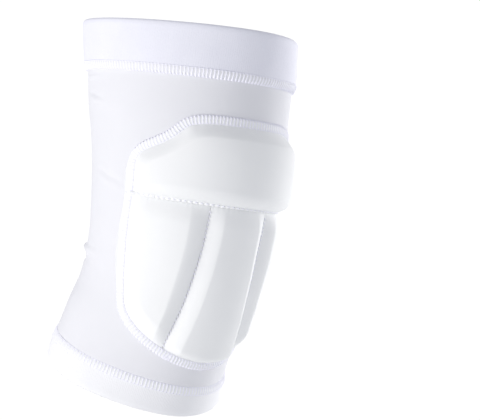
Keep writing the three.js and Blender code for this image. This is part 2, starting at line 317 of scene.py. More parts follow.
def knit_relief(at, angle):
    """How far the knit lies out of the smooth surface: the folds, the draw of the thigh band,
    and a slow unevenness made of a few crossed sines."""
    relief = -DRAWN_IN * hump((at - TOP_BAND_EDGE) * SLEEVE_HEIGHT / DRAWN_REACH)
    for i in range(len(FOLDS["at"])):
        turn = (angle - FOLDS["angle"][i] + 180) % 360 - 180
        rise = at - FOLDS["at"][i] - FOLDS["slant"][i] * turn
        fold = hump(turn / FOLDS["span"][i]) * hump(rise / FOLDS["width"][i])
        relief = relief + KNIT_WALL * FOLDS["height"][i] * fold
    turn = np.radians(angle)
    slow = np.sin(3 * turn + 11 * at) * np.sin(9 * at + 2 * turn + 1)
    slow = slow + 0.5 * np.sin(7 * turn - 17 * at)
    return relief + KNIT_UNEVEN * slow


def top_of(angle):
    """The pad's top edge, as at."""
    return along(TOP_SEAM, "angle", "at", np.abs(angle))


def bottom_of(angle):
    """The pad's bottom edge, as at."""
    angle = np.minimum(np.abs(angle), BOTTOM_SEAM["angle"][-1])
    return along(BOTTOM_SEAM, "angle", "at", angle)


def side_of(at):
    """The pad's side edge, in degrees from the front."""
    return along(SIDE_SEAM, "at", "angle", np.maximum(at, SIDE_SEAM["at"][0]))


def groove_of(at):
    """The groove's middle, in degrees from the front."""
    return along(GROOVE, "at", "angle", at)


def shoulder(distance, roll):
    """1 - (1 - t) squared, t being the share of the roll: a round shoulder."""
    t = np.clip(distance / roll, 0, 1)
    return 1 - (1 - t) ** 2


def steep_shoulder(distance, roll):
    """A quarter of an ellipse: it rises steeply from the seam and rounds off."""
    t = np.clip(distance / roll, 0, 1)
    return np.sqrt(1 - (1 - t) ** 2)


def slope(distance, width, softness):
    """A nearly straight slope with a soft crest, which ends at the width times softness."""
    t = np.clip(distance / (width * softness), 0, 1)
    return 1 - (1 - t) ** softness


def up_distance(start, end):
    """The distance between two heights on the sleeve, both as at."""
    return np.abs(end - start) * SLEEVE_HEIGHT


def mix(start, end, share):
    """The value a share of the way from start to end."""
    return start + (end - start) * share


# Meshes from grids of points

def shell_faces(rows, columns, round_rows=False, round_columns=False):
    """Quads of a grid, as four corner numbers a face, closed on itself where asked."""
    j, i = np.meshgrid(np.arange(rows if round_rows else rows - 1),
                       np.arange(columns if round_columns else columns - 1), indexing="ij")
    j2, i2 = (j + 1) % rows, (i + 1) % columns
    low, high = j * columns, j2 * columns
    return np.stack([low + i, low + i2, high + i2, high + i], axis=-1).reshape(-1, 4)


def make_piece(name, points, faces, material, chart=None, one_round=None):
    """A mesh object from points and quads; chart holds each point's place on the cloth in
    metres, kept at the faces' corners as the attribute "cloth". Where the cloth goes round,
    one_round is its length round, and a face's corners are kept within half of it."""
    mesh = bpy.data.meshes.new(name)
    mesh.vertices.add(len(points))
    mesh.vertices.foreach_set("co", np.ascontiguousarray(points, dtype=np.float32).ravel())
    mesh.loops.add(faces.size)
    mesh.loops.foreach_set("vertex_index", faces.astype(np.int32).ravel())
    mesh.polygons.add(len(faces))
    mesh.polygons.foreach_set("loop_start", np.arange(0, faces.size, 4, dtype=np.int32))
    mesh.polygons.foreach_set("loop_total", np.full(len(faces), 4, dtype=np.int32))
    mesh.update(calc_edges=True)
    if chart is not None:
        corners = np.zeros((len(faces), 4, 3), dtype=np.float32)
        corners[..., :2] = chart.reshape(-1, 2)[faces]
        if one_round:
            turns = np.round((corners[:, :1, 0] - corners[..., 0]) / one_round)
            corners[..., 0] += one_round * turns
        cloth = mesh.attributes.new("cloth", "FLOAT_VECTOR", "CORNER")
        cloth.data.foreach_set("vector", corners.ravel())
    mesh.validate()
    mesh.polygons.foreach_set("use_smooth", np.ones(len(mesh.polygons), dtype=bool))
    mesh.materials.append(material)
    piece = bpy.data.objects.new(name, mesh)
    bpy.context.scene.collection.objects.link(piece)
    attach(piece, "root")
    return piece


def tube_piece(name, at, lift, columns, material):
    """A closed wall round the leg: the loop at carried round all angles, with a row of lift for
    each point of the loop and a column for each angle."""
    angle = np.linspace(-180, 180, columns, endpoint=False)
    at_grid, angle_grid = np.meshgrid(at, angle, indexing="ij")
    points = lifted(at_grid, angle_grid, lift)
    faces = shell_faces(len(at), columns, round_rows=True, round_columns=True)
    chart = np.stack([angle_grid * CLOTH_DEGREE, at_grid * SLEEVE_HEIGHT], axis=-1)
    one_round = 360 * CLOTH_DEGREE
    return make_piece(name, points.reshape(-1, 3), faces, material, chart, one_round)


def wall_loop(start, end, outer_rows, inner_rows, rim_rows, outer_lift, inner_lift):
    """The loop of a wall's long section, bottom to top outside and back down inside: the two
    faces joined by half circles over both rims. Returns at and lift along the loop."""
    radius = (outer_lift - inner_lift) / 2
    reach = radius / SLEEVE_HEIGHT
    turn = np.linspace(0, np.pi, rim_rows + 2)[1:-1]
    outer = np.linspace(start + reach, end - reach, outer_rows)
    inner = np.linspace(end - reach, start + reach, inner_rows)
    middle = (outer_lift + inner_lift) / 2
    at = np.concatenate([outer, end - reach + reach * np.sin(turn),
                         inner, start + reach - reach * np.sin(turn)])
    lift = np.concatenate([np.full(outer_rows, outer_lift), middle + radius * np.cos(turn),
                           np.full(inner_rows, inner_lift), middle - radius * np.cos(turn)])
    return at, lift


def build_sleeve(material):
    """The knit tube: its outer face follows the folds and the inner one lies a wall under it."""
    at, lift = wall_loop(BOTTOM_BAND_EDGE + HALF_GAP, TOP_BAND_EDGE - HALF_GAP, outer_rows=230,
                         inner_rows=90, rim_rows=2, outer_lift=0.0, inner_lift=-KNIT_WALL)
    columns = 280
    angle = np.linspace(-180, 180, columns, endpoint=False)
    relief = knit_relief(at[:, None], angle[None, :])
    sleeve = tube_piece("knit_sleeve", at, lift[:, None] + relief, columns, material)
    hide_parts("sleeve")


def build_band(name, node, start, end, opening, rows, material):
    """An elastic band: a wall with round rims, its outer face a little wavy from its rubber and
    drawn in where it rolls over the leg's opening, by the square of the roll's share."""
    at, lift = wall_loop(start, end, outer_rows=rows, inner_rows=rows // 2, rim_rows=6,
                         outer_lift=BAND_PROUD, inner_lift=-KNIT_WALL)
    roll = np.clip(1 - up_distance(at, opening) / RIM_ROLL, 0, 1) ** 2
    lift = lift - RIM_DRAW * roll * (lift > 0)
    columns = 360
    angle = np.radians(np.linspace(-180, 180, columns, endpoint=False))
    wave = np.sin(5 * angle + 1) + 0.6 * np.sin(9 * angle + 2) + 0.4 * np.sin(17 * angle)
    uneven = BAND_UNEVEN * wave[None, :] * np.where(lift > 0, 1, 0.5)[:, None]
    band = tube_piece(name, at, lift[:, None] + uneven, columns, material)
    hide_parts(node)


# Cushions

def crowded(steps):
    """Values from 0 to 1 that lie closer together towards both ends, as a cosine does."""
    return (1 - np.cos(np.linspace(0, np.pi, steps))) / 2


def cushion_piece(name, node, rows, columns, place, height, material):
    """A foam chamber on a patch of the sleeve: the top face stands at its height over the hem,
    the bottom face lies just off the knit, and both meet in the patch's four edges."""
    w, s = np.meshgrid(crowded(rows), crowded(columns), indexing="ij")
    at, angle = place(s, w)
    top = CLEARANCE + HEM_THICKNESS + height(at, angle)
    upper = lifted(at, angle, top)
    lower = lifted(at, angle, np.full_like(top, CLEARANCE))
    chart = np.stack([angle * CLOTH_DEGREE, at * SLEEVE_HEIGHT], axis=-1)
    grid = shell_faces(rows, columns)
    numbers = np.arange(rows * columns).reshape(rows, columns)
    rim = np.concatenate([numbers[0, :-1], numbers[:-1, -1],
                          numbers[-1, :0:-1], numbers[:0:-1, 0]])
    after = np.roll(rim, -1)
    under = rows * columns
    skirt = np.stack([rim, rim + under, after + under, after], axis=-1)
    faces = np.concatenate([grid, grid[:, ::-1] + under, skirt])
    points = np.concatenate([upper.reshape(-1, 3), lower.reshape(-1, 3)])
    cushion = make_piece(name, points, faces, material, np.concatenate([chart, chart]))
    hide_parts(node)


def pucker(distance, run, pitch, depth, reach):
    """Small dimples beside a stitched line: a cosine with the stitches' pitch along the run,
    dying away with distance."""
    dimples = 0.5 + 0.5 * np.cos(2 * np.pi * run / pitch)
    return -depth * dimples * np.exp(-np.abs(distance) / reach)


def foam_unevenness(at, angle):
    """Slow waves of a fraction of a millimetre, as hand sewn foam has."""
    across, up = np.radians(angle), at * SLEEVE_HEIGHT / MM
    return FOAM_UNEVEN * (np.sin(6 * across + 0.11 * up) + np.sin(0.23 * up - 4 * across + 1))


def pad_seam_rows():
    """The pad seam's middle line as at and angle: down the right side, then up the left one
    and back to its first point."""
    at = np.concatenate([PAD_SEAM["at"], PAD_SEAM["at"][-2::-1]])
    angle = np.concatenate([PAD_SEAM["angle"], -PAD_SEAM["angle"][-2::-1]])
    return at, angle


def inside_seam(at, angle):
    """How far a place lies inside the pad seam's inner edge. The distance d to the seam's middle
    line comes from the whole line, so that it turns smoothly in the corners: the sum of 1 / r to
    the sixth along a straight line is 3 pi / 8 times 1 / d to the fifth."""
    line = resampled(surface_point(*pad_seam_rows()), LINE_STEP, closed=True)
    steps = np.full(len(line), LINE_STEP)
    total = []
    for row in surface_point(at, angle):
        squares = ((row[:, None] - line[None]) ** 2).sum(axis=-1)
        total.append(squares ** -3.0 @ steps)
    distance = (np.array(total) / (3 * np.pi / 8)) ** -0.2
    return np.maximum(distance - SEAM_WIDTH / 2, 0)


def build_upper_cushion(material):
    """One wide bulge over the knee: a straight slope under the pad seam, a level face, and a
    roll under to the cross seam."""
    edge = SIDE_SEAM["angle"][-1]

    def place(s, w):
        angle = (2 * s - 1) * edge
        return mix(UPPER_START, top_of(angle), w), angle

    def height(at, angle):
        run = degree_length(at, angle)
        side_share = np.clip((np.abs(angle) - TURN_START) / TURN_SPAN, 0, 1)
        roll = mix(UPPER_TOP_ROLL, UPPER_SIDE_ROLL, side_share)
        from_seam = inside_seam(at, angle)
        from_cross = up_distance(UPPER_START, at)
        crown = mix(CROWN_EDGE, 1.0, shoulder(from_seam, UPPER_CROWN))
        rise = slope(from_seam, roll, SEAM_SOFTNESS) * crown * cross_roll(from_cross)
        full = (UPPER_THICKNESS - HEM_THICKNESS) * rise + foam_unevenness(at, angle) * rise
        dimples = pucker(from_cross, angle * run, CROSS_PITCH, UPPER_PUCKER, UPPER_PUCKER_REACH)
        return full + dimples * np.clip(from_seam / PUCKER_FADE, 0, 1)

    cushion_piece("upper_cushion_cover", "upper_cushion", 120, 280, place, height, material)


def cross_roll(distance):
    """The upper cushion's roll to the cross seam: two thirds of a quarter ellipse and one
    third of a round shoulder."""
    steep, soft = steep_shoulder(distance, UPPER_CROSS_ROLL), shoulder(distance, UPPER_CROSS_ROLL)
    return (2 * steep + soft) / 3


def groove_gap(at):
    """Half the gap between two chambers, in degrees."""
    return SEAM_GAP / 2 / degree_length(at, groove_of(at))


def up_share(at, angle):
    """The share of the way up a lower chamber, from the bottom seam to the cross seam."""
    foot = bottom_of(angle)
    return np.clip((at - foot) / (LOWER_END - foot), 0, 1)


def cross_puckers(at, angle):
    """The dimples that the cross stitches pull into a lower chamber."""
    run = angle * degree_length(at, angle)
    from_cross = up_distance(at, LOWER_END)
    return pucker(from_cross, run, CROSS_PITCH, LOWER_PUCKER, CROSS_PUCKER_REACH)


def groove_puckers(at, from_groove):
    """The dimples that the groove stitches pull into a lower chamber."""
    run = at * SLEEVE_HEIGHT
    return pucker(from_groove, run, GROOVE_PITCH, LOWER_PUCKER, GROOVE_PUCKER_REACH)


def build_centre_cushion(material):
    """A straight bar between the grooves, with sloped sides, a level face and a steep foot."""
    def edge(at):
        return groove_of(at) - groove_gap(at)

    def place(s, w):
        start = bottom_of((2 * s - 1) * edge(GROOVE["at"][0]))
        at = mix(start, LOWER_END, w)
        return at, (2 * s - 1) * edge(at)

    def height(at, angle):
        run, share = degree_length(at, angle), up_share(at, angle)
        from_groove = np.maximum(edge(at) - np.abs(angle), 0) * run
        full = mix(CENTRE_FOOT_THICKNESS, CENTRE_TOP_THICKNESS, share) - HEM_THICKNESS
        bevel = mix(CENTRE_FOOT_BEVEL, CENTRE_TOP_BEVEL, share)
        from_valley = np.maximum(inside_seam(at, angle) - FOOT_VALLEY, 0)
        rise = shoulder(up_distance(at, LOWER_END), LOWER_CROSS_ROLL)
        rise = rise * steep_shoulder(from_valley, BOTTOM_ROLL)
        rise = rise * slope(from_groove, bevel, CENTRE_BEVEL_SOFTNESS)
        body = (full + foam_unevenness(at, angle)) * rise
        return body + groove_puckers(at, from_groove) + cross_puckers(at, angle)

    cushion_piece("centre_cushion_cover", "centre_cushion", 240, 150, place, height, material)


def side_place(s, w):
    """A place on the right chamber, s from the groove to the side seam and w up. Its foot is
    found by following the bottom seam until at and angle agree."""
    def angle_at(at):
        return mix(groove_of(at) + groove_gap(at), side_of(at), s)

    start = np.full_like(s, BOTTOM_SEAM["at"][-1])
    for _ in range(12):
        start = bottom_of(angle_at(start))
    at = mix(start, LOWER_END, w)
    return at, angle_at(at)


def build_side_cushion(name, node, turned, material):
    """A side chamber; turned is 1 for the one on +X and -1 for the other."""
    def place(s, w):
        at, angle = side_place(s if turned > 0 else 1 - s, w)
        return at, turned * angle

    def height(at, angle):
        run, share = degree_length(at, angle), up_share(at, angle)
        from_groove = (np.abs(angle) - groove_of(at) - groove_gap(at)) * run
        full = mix(SIDE_FOOT_THICKNESS, SIDE_TOP_THICKNESS, share) - HEM_THICKNESS
        bevel = mix(SIDE_FOOT_BEVEL, SIDE_TOP_BEVEL, share)
        rise = shoulder(up_distance(at, LOWER_END), LOWER_CROSS_ROLL)
        rise = rise * slope(inside_seam(at, angle), SIDE_ROLL, SEAM_SOFTNESS)
        rise = rise * slope(from_groove, bevel, SIDE_BEVEL_SOFTNESS)
        body = (full + foam_unevenness(at, angle)) * rise
        return body + groove_puckers(at, from_groove) + cross_puckers(at, angle)

    cushion_piece(name, node, 210, 170, place, height, material)


# Stitching

def resampled(points, spacing, closed):
    """A path's rows at even distances near the spacing, measured along its first 3 columns.
    A closed path's last row is at its first row's place."""
    run = np.concatenate([[0], np.cumsum(np.linalg.norm(np.diff(points[:, :3], axis=0), axis=1))])
    count = int(round(run[-1] / spacing))
    wanted = np.linspace(0, run[-1], count + (0 if closed else 1), endpoint=not closed)
    return np.stack([np.interp(wanted, run, column) for column in points.T], axis=-1)


def smoothed(values, passes):
    """The mean of each row of a closed line and its neighbours, taken several times: it rounds
    corners."""
    for _ in range(passes):
        values = (np.roll(values, 1, axis=0) + 2 * values + np.roll(values, -1, axis=0)) / 4
    return values


class SeamPath:
    """A line on the sleeve, as points at an even spacing with two directions at each one: out
    of the cloth, and across the line. Only a closed line is smoothed."""

    def __init__(self, at, angle, closed=False, passes=0):
        at, angle = np.broadcast_arrays(np.asarray(at, float), np.asarray(angle, float))
        rows = np.concatenate([surface_point(at, angle), np.stack([at, angle], axis=-1)], axis=-1)
        rows = smoothed(resampled(rows, PATH_STEP, closed), passes)
        self.at, self.angle, self.closed = rows[:, 3], rows[:, 4], closed
        self.points = surface_point(self.at, self.angle)
        self.out = surface_normal(self.at, self.angle)
        if closed:
            step = np.roll(self.points, -1, axis=0) - np.roll(self.points, 1, axis=0)
        else:
            step = np.gradient(self.points, axis=0)
        self.across = unit(np.cross(self.out, unit(step)))
        self.steps = len(rows) if closed else len(rows) - 1
        self.length = self.steps * PATH_STEP

    def read(self, values, run):
        """Values at distances run along the line, between the two nearest points."""
        position = np.asarray(run) / PATH_STEP
        if not self.closed:
            position = np.clip(position, 0, self.steps)
        first = np.floor(position).astype(int)
        share = (position - first)[..., None]
        count = len(values)
        following = (first + 1) % count if self.closed else np.minimum(first + 1, count - 1)
        before, after = values[first % count], values[following]
        return before + (after - before) * share

    def place(self, run, across, lift):
        """The point a distance run along the line, moved across it and out of the cloth."""
        run, across, lift = np.broadcast_arrays(np.asarray(run, float), across, lift)
        point = self.read(self.points, run) + across[..., None] * self.read(self.across, run)
        return point + lift[..., None] * self.read(self.out, run)


def thread_tubes(centres, out, radius, sides=6, closed=False):
    """Points and faces of threads: centres has a row of points for each thread, and a ring is
    carried along it. The radius may be given for each point, and is 0 at a closed end."""
    if closed:
        step = np.roll(centres, -1, axis=1) - np.roll(centres, 1, axis=1)
    else:
        step = np.gradient(centres, axis=1)
    along_thread = unit(step)
    side = unit(np.cross(out, along_thread))
    up = np.cross(along_thread, side)
    turn = np.linspace(0, 2 * np.pi, sides, endpoint=False)
    wide = np.broadcast_to(radius, centres.shape[:2])[..., None, None]
    ring = side[:, :, None] * np.cos(turn)[:, None] + up[:, :, None] * np.sin(turn)[:, None]
    points = centres[:, :, None] + ring * wide
    count, length = centres.shape[:2]
    one = shell_faces(length, sides, round_rows=closed, round_columns=True)
    faces = one[None] + (np.arange(count) * length * sides)[:, None, None]
    return points.reshape(-1, 3), faces.reshape(-1, 4)


def joined(parts):
    """Several sets of points and faces as one."""
    start = np.cumsum([0] + [len(points) for points, _ in parts[:-1]])
    faces = [faces + first for (_, faces), first in zip(parts, start)]
    return np.concatenate([points for points, _ in parts]), np.concatenate(faces)


# How high a seam stands over the smooth sleeve, in millimetres, by the share of its half width:
# -1 is the pad's side of the pad seam and the knit's side of a band seam.
PAD_PROFILE = table("across lift", [
    [-1.0, 0.30], [-0.857, 1.25], [-0.714, 1.55], [-0.4, 1.75], [0.0, 1.75],
    [0.4, 1.70], [0.6, 1.55], [0.714, 1.25], [0.857, 0.20], [1.0, -1.10],
])
TOP_BAND_PROFILE = table("across lift", [
    [-1.0, -1.90], [-0.857, -0.95], [-0.714, -0.10], [-0.5, 0.45], [0.0, 1.10],
    [0.5, 1.45], [0.714, 1.50], [0.857, 1.20], [1.0, 0.20],
])
BOTTOM_BAND_PROFILE = table("across lift", [
    [-1.0, -0.45], [-0.857, 0.00], [-0.714, 0.32], [-0.5, 0.68], [0.0, 1.15],
    [0.5, 1.36], [0.714, 1.38], [0.857, 1.12], [1.0, 0.20],
])


def profile_lift(profile, share):
    """The profile's height at a share of the half width, in metres."""
    return along(profile, "across", "lift", np.clip(share, -1, 1)) * MM


def build_ribbon(name, path, profile, width, turned, material):
    """The joined cloth edges under a seam's threads: the profile carried along the closed line
    and back at an even depth under it. turned is -1 where the profile is mirrored."""
    share = np.linspace(-1, 1, 15)
    under = np.linspace(1, -1, 7)[1:-1]
    lift = np.concatenate([profile_lift(profile, share),
                           profile_lift(profile, under) - RIBBON_THICKNESS])
    across = np.concatenate([share, under]) * turned * width / 2
    run = np.arange(len(path.points) // 2) * 2 * PATH_STEP
    points = path.place(run[:, None], across[None, :], lift[None, :])
    chart = np.stack(np.broadcast_arrays(run[:, None], across[None, :]), axis=-1)
    faces = shell_faces(len(run), len(across), round_rows=True, round_columns=True)
    if turned > 0:
        faces = faces[:, ::-1]
    ribbon = make_piece(name, points.reshape(-1, 3), faces, material, chart, path.length)


def rungs(path, run, profile, width, turned, radius, slant, sunk):
    """Threads across a seam, one at each distance run. Each follows the profile, sunk into it by
    a share of its radius, leans by slant and bends like an S, dips at the middle where the
    needle holds it, and thins to nothing at both ends."""
    share = np.linspace(-1, 1, 13)
    lean = slant * share + RUNG_BEND * np.sin(np.pi * share)
    hold = RUNG_HOLD * np.exp(-(share / RUNG_HOLD_WIDTH) ** 2)
    lift = profile_lift(profile, RUNG_REACH * share) - sunk * radius - hold
    across = turned * width / 2 * share
    centres = path.place(run[:, None] + lean, across[None, :], lift[None, :])
    out = path.read(path.out, run[:, None] + lean)
    thin = radius * np.sqrt(1 - share ** 6)
    return thread_tubes(centres, out, thin[None, :])


def needle_row(path, start, end, profile, width, turned, share, radius, pitch):
    """One long thread along a seam, a share of the half width from its middle. It goes up over
    each rung and down between two of them."""
    closed = end - start >= path.length - pitch
    count = int((end - start) / (pitch / 6))
    run = start + np.arange(count) * (end - start) / (count if closed else count - 1)
    wave = np.cos(2 * np.pi * (run - start) / pitch)
    lift = profile_lift(profile, share) + ROW_LIFT + ROW_WAVE * wave
    centres = path.place(run, turned * share * width / 2, lift)[None]
    out = path.read(path.out, run)[None]
    thick = np.full(count, radius)
    if not closed:
        thick[[0, -1]] = 0
    return thread_tubes(centres, out, thick[None, :], sides=5, closed=closed)


def flatlock(path, start, end, profile, width, turned, pitch, radius, slant, sunk):
    """A flat seam's stitching between two distances along its line: the rungs and the rows."""
    count = int(round((end - start) / pitch))
    even = (end - start) / count
    run = start + np.arange(count) * even
    parts = [rungs(path, run, profile, width, turned, radius, slant, sunk)]
    for share in (-ROW_PLACE, ROW_PLACE):
        row = needle_row(path, start, end, profile, width, turned, share, ROW_RADIUS, even)
        parts.append(row)
    return parts


def build_pad_seam(ribbon_material, thread_material):
    """The seam all round the pad, with finer stitches under the foot between two knots."""
    path = SeamPath(*pad_seam_rows(), closed=True, passes=SMOOTHING_PASSES)
    form = (PAD_PROFILE, SEAM_WIDTH, 1)
    build_ribbon("pad_seam_edge", path, *form, ribbon_material)
    is_foot = (path.at < FOOT_TOP) & (np.abs(path.angle) < FOOT_SPAN)
    foot = np.flatnonzero(is_foot) * PATH_STEP
    first, last = foot[0], foot[-1]
    upper_thread = (SEAM_PITCH, RUNG_RADIUS, SEAM_SLANT, RUNG_SUNK)
    foot_thread = (FOOT_PITCH, FOOT_RADIUS, FOOT_SLANT, FOOT_SUNK)
    parts = flatlock(path, last, first + path.length, *form, *upper_thread)
    parts += flatlock(path, first, last, *form, *foot_thread)
    knots = np.array([first - KNOT_OUT, first + KNOT_IN, last - KNOT_IN, last + KNOT_OUT])
    parts.append(rungs(path, knots, *form, KNOT_RADIUS, KNOT_SLANT, RUNG_SUNK))
    threads = make_piece("pad_seam_threads", *joined(parts), thread_material)


def build_band_seam(name, at, profile, turned, pitch, radius, slant, ribbon_material,
                    thread_material):
    """A flat seam all round the leg, where a band meets the knit."""
    path = SeamPath(at, np.linspace(-180, 180, 361), closed=True)
    form = (profile, BAND_SEAM_WIDTH, turned)
    build_ribbon(name + "_edge", path, *form, ribbon_material)
    parts = flatlock(path, 0, path.length, *form, pitch, radius, slant, RUNG_SUNK)
    threads = make_piece(name + "_threads", *joined(parts), thread_material)


def stitch_line(name, path, lift, pitch, length, radius, across, thread_material):
    """A dashed line of stitches: each is a short thread along the line, sunk at both ends.
    across sends it over the line from one side to the other."""
    count = int(path.length / pitch) - 1
    run = (np.arange(count) + 1) * path.length / (count + 1)
    share = np.linspace(-1, 1, 9)
    arch = lift + radius * (0.9 - 1.5 * share ** 2)
    run = run[:, None] + length / 2 * share
    centres = path.place(run, across / 2 * share[None, :], arch[None, :])
    out = path.read(path.out, run)
    thin = radius * np.sqrt(1 - share ** 8)
    stitches = make_piece(name, *thread_tubes(centres, out, thin[None, :]), thread_material)


def build_welt(path, lift, cover_material):
    """The cross seam's ridge of cloth: a cord that the stitches pinch at an even pitch."""
    count = int(path.length / CROSS_PITCH) * 10
    run = np.linspace(0, path.length, count)
    pinch = hump((run / CROSS_PITCH % 1 - 0.5) / 0.3)
    radius = WELT_RADIUS * (1 - WELT_PINCH * pinch)
    radius[[0, -1]] = 0
    centres = path.place(run, 0.0, lift - WELT_DIP * WELT_RADIUS * pinch)[None]
    out = path.read(path.out, run)[None]
    tube = thread_tubes(centres, out, radius[None, :], sides=10)
    welt = make_piece("cross_welt", *tube, cover_material)


def build_stitch_lines(cover_material, thread_material):
    """The cross seam's welt and dashes, and the stitches down both grooves."""
    hem = CLEARANCE + HEM_THICKNESS
    cross = SeamPath(CROSS_SEAM, np.linspace(-CROSS_SPAN, CROSS_SPAN, 144))
    build_welt(cross, hem + WELT_LIFT, cover_material)
    stitch_line("cross_stitches", cross, hem + CROSS_STITCH_LIFT, CROSS_PITCH,
                CROSS_STITCH_LENGTH, CROSS_STITCH_RADIUS, 0.0, thread_material)
    at = np.linspace(GROOVE["at"][0] + GROOVE_FOOT_END, CROSS_SEAM - GROOVE_TOP_END, 120)
    for name, turned in (("left_groove_stitches", -1), ("right_groove_stitches", 1)):
        groove = SeamPath(at, turned * groove_of(at))
        stitch_line(name, groove, hem + GROOVE_STITCH_LIFT, GROOVE_PITCH, GROOVE_STITCH_LENGTH,
                    GROOVE_STITCH_RADIUS, GROOVE_STITCH_ACROSS, thread_material)


# Finishes

class Value:
    """A node's output. Its sums, differences and products are written as expressions, and each
    adds its Math node."""

    def __init__(self, finish, socket):
        self.finish, self.socket = finish, socket

    def maths(self, operation, first, second=None):
        inputs = {0: first} if second is None else {0: first, 1: second}
        return self.finish.node("ShaderNodeMath", {"operation": operation}, inputs)

    def __add__(self, other):
        return self.maths("ADD", self, other)

    def __sub__(self, other):
        return self.maths("SUBTRACT", self, other)

    def __mul__(self, other):
        return self.maths("MULTIPLY", self, other)

    def __abs__(self):
        return self.maths("ABSOLUTE", self)

    def sine(self):
        return self.maths("SINE", self)

    def fraction(self):
        return self.maths("FRACT", self)


class Finish:
    """A procedural material: its tree, one method that makes any node, and its shader."""

    def __init__(self, name, roughness):
        self.material = bpy.data.materials.new(name)
        self.material.use_nodes = True
        self.tree = self.material.node_tree
        self.shader = self.tree.nodes["Principled BSDF"]
        self.shader.inputs["Roughness"].default_value = roughness
        self.shader.inputs["Specular IOR Level"].default_value = 0.2

    def node(self, kind, settings=None, inputs=None, output=0):
        """A node of that type: its settings, then its sockets' values or links."""
        made = self.tree.nodes.new(kind)
        for key, value in (settings or {}).items():
            setattr(made, key, value)
        for key, value in (inputs or {}).items():
            self.feed(made.inputs[key], value)
        return Value(self, made.outputs[output])

    def feed(self, socket, value):
        """Links a value to a socket, or sets the socket to a plain one."""
        if isinstance(value, Value):
            self.tree.links.new(value.socket, socket)
        else:
            socket.default_value = value

    def part(self, vector, axis):
        """One of a vector's three numbers."""
        return self.node("ShaderNodeSeparateXYZ", None, {0: vector}, axis)

    def noise(self, place, size, detail=2.0, roughness=0.5):
        """Cloudy noise from 0 to 1, whose patches are about as wide as size."""
        inputs = {"Vector": place, "Scale": 1 / size, "Detail": detail, "Roughness": roughness}
        return self.node("ShaderNodeTexNoise", None, inputs)

    def tint(self, amount, low, high):
        """A colour between two, by an amount from 0 to 1."""
        inputs = {0: amount, 6: (*low, 1), 7: (*high, 1)}
        return self.node("ShaderNodeMix", {"data_type": "RGBA"}, inputs, 2)

    def paint(self, amount, colours):
        """The surface's own colour, between two by an amount from 0 to 1."""
        self.feed(self.shader.inputs["Base Color"], self.tint(amount, *colours))

    def raise_by(self, height, distance):
        """Bumps the surface by a height from 0 to 1 times the distance."""
        inputs = {"Height": height, "Distance": distance, "Strength": 1.0}
        self.feed(self.shader.inputs["Normal"], self.node("ShaderNodeBump", None, inputs))

    def cloth_place(self):
        """The place on the cloth, in metres, from the piece's own attribute."""
        settings = {"attribute_type": "GEOMETRY", "attribute_name": "cloth"}
        return self.node("ShaderNodeAttribute", settings, None, 1)

    def object_place(self):
        """The place in the piece's own frame, in metres."""
        return self.node("ShaderNodeTexCoord", None, None, 3)


def knit_loops(finish, place, wale, course):
    """The height of a plain knit: each wale is a column of V shapes. Two legs stand up in each
    wale, and slanted waves part them into loops."""
    column = finish.part(place, 0) * (1 / wale)
    row = finish.part(place, 1) * (1 / course)
    side = abs(column.fraction() * 2 - 1)
    legs = (side * np.pi).sine()
    loops = ((row + side * 0.45) * (2 * np.pi)).sine() * 0.5 + 0.5
    return legs * (loops * 0.45 + 0.55)


def knit_finish():
    """The sleeve's fine stretch knit: white with a faint cool cast."""
    finish = Finish("white_knit", 0.88)
    place, where = finish.cloth_place(), finish.object_place()
    cloud = finish.noise(where, 22 * MM)
    grain = finish.noise(where, 0.9 * MM)
    height = knit_loops(finish, place, KNIT_WALE, KNIT_COURSE) * 0.8 + grain * 0.3
    finish.paint(cloud, KNIT_COLOURS)
    finish.raise_by(height, KNIT_BUMP)
    return finish.material


def elastic_finish(name, colours):
    """A band's rubbery weave: upright ribs broken up by fine grain, between two colours."""
    finish = Finish(name, 0.85)
    place, where = finish.cloth_place(), finish.object_place()
    ribs = (finish.part(place, 0) * (2 * np.pi / ELASTIC_RIB)).sine() * 0.5 + 0.5
    picks = (finish.part(place, 1) * (2 * np.pi / ELASTIC_PICK)).sine() * 0.5 + 0.5
    grain = finish.noise(where, 1.1 * MM, 3.0, 0.6)
    cloud = finish.noise(where, 14 * MM)
    height = ribs * 0.12 + ribs * picks * 0.12 + grain * 0.9
    finish.paint(cloud * 0.5 + grain * 0.5, colours)
    finish.raise_by(height, ELASTIC_BUMP)
    return finish.material


def cover_finish():
    """The cushions' cover: a tight smooth knit stretched over foam."""
    finish = Finish("white_cover", 0.85)
    place, where = finish.cloth_place(), finish.object_place()
    cloud = finish.noise(where, 18 * MM)
    grain = finish.noise(where, 0.8 * MM)
    height = knit_loops(finish, place, COVER_WALE, COVER_COURSE) * 0.8 + grain * 0.25
    finish.paint(cloud, COVER_COLOURS)
    finish.raise_by(height, COVER_BUMP)
    return finish.material


def thread_finish():
    """Soft stretch thread, a little brighter than the cloth."""
    finish = Finish("white_thread", 0.7)
    where = finish.object_place()
    fuzz = finish.noise(where, 0.45 * MM, 3.0, 0.6)
    finish.paint(fuzz, THREAD_COLOURS)
    finish.raise_by(fuzz, THREAD_BUMP)
    return finish.material


# The photograph's floor, light and camera

